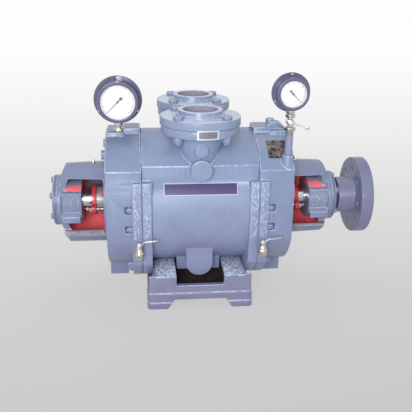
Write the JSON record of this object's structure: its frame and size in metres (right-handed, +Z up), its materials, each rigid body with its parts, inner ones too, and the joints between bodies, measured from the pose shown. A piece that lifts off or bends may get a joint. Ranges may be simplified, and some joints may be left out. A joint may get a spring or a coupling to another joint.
{
  "type": "liquid ring vacuum pump",
  "caption": "Horizontal liquid ring vacuum pump with twin top ports, outboard bearing brackets, drive flange, two gauges and drain cocks on a cast pedestal.",
  "frame": {"origin": "centre of the four foot bolt holes, on the floor plane under the feet", "axes": "+X along the shaft towards the drive flange, -Y towards the front with the name plate, +Z up"},
  "size_m": [0.9205, 0.4421, 0.652],
  "materials": {
    "enamel": "semi gloss blue grey enamel over casting",
    "enamel_steel": "fasteners painted over with the casing",
    "red_enamel": "bright red enamel",
    "gauge_paint": "dark gloss paint",
    "cast_iron": "machined grey iron",
    "steel": "turned steel",
    "bright_steel": "polished steel",
    "brass": "cast brass",
    "gasket": "dark jointing sheet",
    "packing": "braided graphite packing",
    "dial": "white dial",
    "pointer": "black pointer",
    "glass": "clear window",
    "plate": "thin bare plate"
  },
  "bodies": {
    "casing": {"body_casing": "enamel", "pedestal": "enamel", "head_left": "enamel", "head_right": "enamel", "head_gaskets": "gasket", "port_plate_left": "cast_iron", "port_plate_right": "cast_iron", "joint_studs_left": "enamel_steel", "joint_studs_right": "enamel_steel", "front_port_flange": "enamel", "rear_port_flange": "enamel", "port_gaskets": "gasket", "front_port_bolts": "enamel_steel", "rear_port_bolts": "enamel_steel", "bracket_left": "enamel", "bracket_right": "enamel", "bracket_bolts": "red_enamel", "packing_rings": "packing", "lantern_rings": "brass", "gland_left": "red_enamel", "gland_right": "red_enamel", "gland_studs": "steel", "bearing_outer_races": "steel", "bearing_balls": "bright_steel", "bearing_cover_left": "enamel", "bearing_cover_right": "enamel", "cover_screws": "enamel_steel", "grease_nipples": "brass", "head_plugs": "enamel_steel", "large_gauge_case": "gauge_paint", "large_gauge_bezel": "gauge_paint", "large_gauge_dial": "dial", "large_gauge_glass": "glass", "small_gauge_case": "gauge_paint", "small_gauge_bezel": "gauge_paint", "small_gauge_dial": "dial", "small_gauge_glass": "glass", "large_gauge_stem": "brass", "riser_pipe": "steel", "gauge_cock_body": "brass", "drain_cock_left": "brass", "drain_cock_right": "brass", "name_plate": "plate", "head_plate": "plate", "tag_plate": "plate"},
    "rotor": {"shaft": "steel", "impeller": "cast_iron", "impeller_key": "steel", "sleeve_left": "bright_steel", "sleeve_right": "bright_steel", "bearing_inner_races": "steel", "shaft_lock_nuts": "steel", "drive_flange": "enamel", "drive_key": "steel"},
    "left_drain_lever": {"drain_lever_left": "steel"},
    "right_drain_lever": {"drain_lever_right": "steel"},
    "gauge_lever": {"gauge_cock_lever": "steel"},
    "large_pointer": {"large_gauge_pointer": "pointer"},
    "small_pointer": {"small_gauge_pointer": "pointer"}
  },
  "joints": [
    {"name": "rotor_spin", "type": "hinge", "parent": "casing", "child": "rotor", "pos_m": [0, 0, 0.267], "axis": [1, 0, 0], "continuous": true},
    {"name": "left_drain_lever_turn", "type": "hinge", "parent": "casing", "child": "left_drain_lever", "pos_m": [-0.168, -0.2, 0.178], "axis": [0, 0, 1], "range_deg": [-90, 0]},
    {"name": "right_drain_lever_turn", "type": "hinge", "parent": "casing", "child": "right_drain_lever", "pos_m": [0.168, -0.2, 0.178], "axis": [0, 0, 1], "range_deg": [-90, 0]},
    {"name": "gauge_lever_turn", "type": "hinge", "parent": "casing", "child": "gauge_lever", "pos_m": [0.237, -0.141, 0.523], "axis": [0, 1, 0], "range_deg": [-16, 74]},
    {"name": "large_pointer_turn", "type": "hinge", "parent": "casing", "child": "large_pointer", "pos_m": [-0.218, -0.04, 0.561], "axis": [0, 1, 0], "range_deg": [0, 270], "stiffness_Nm_per_rad": 0.001},
    {"name": "small_pointer_turn", "type": "hinge", "parent": "casing", "child": "small_pointer", "pos_m": [0.237, -0.14, 0.6], "axis": [0, -1, 0], "range_deg": [0, 270], "stiffness_Nm_per_rad": 0.001}
  ]
}
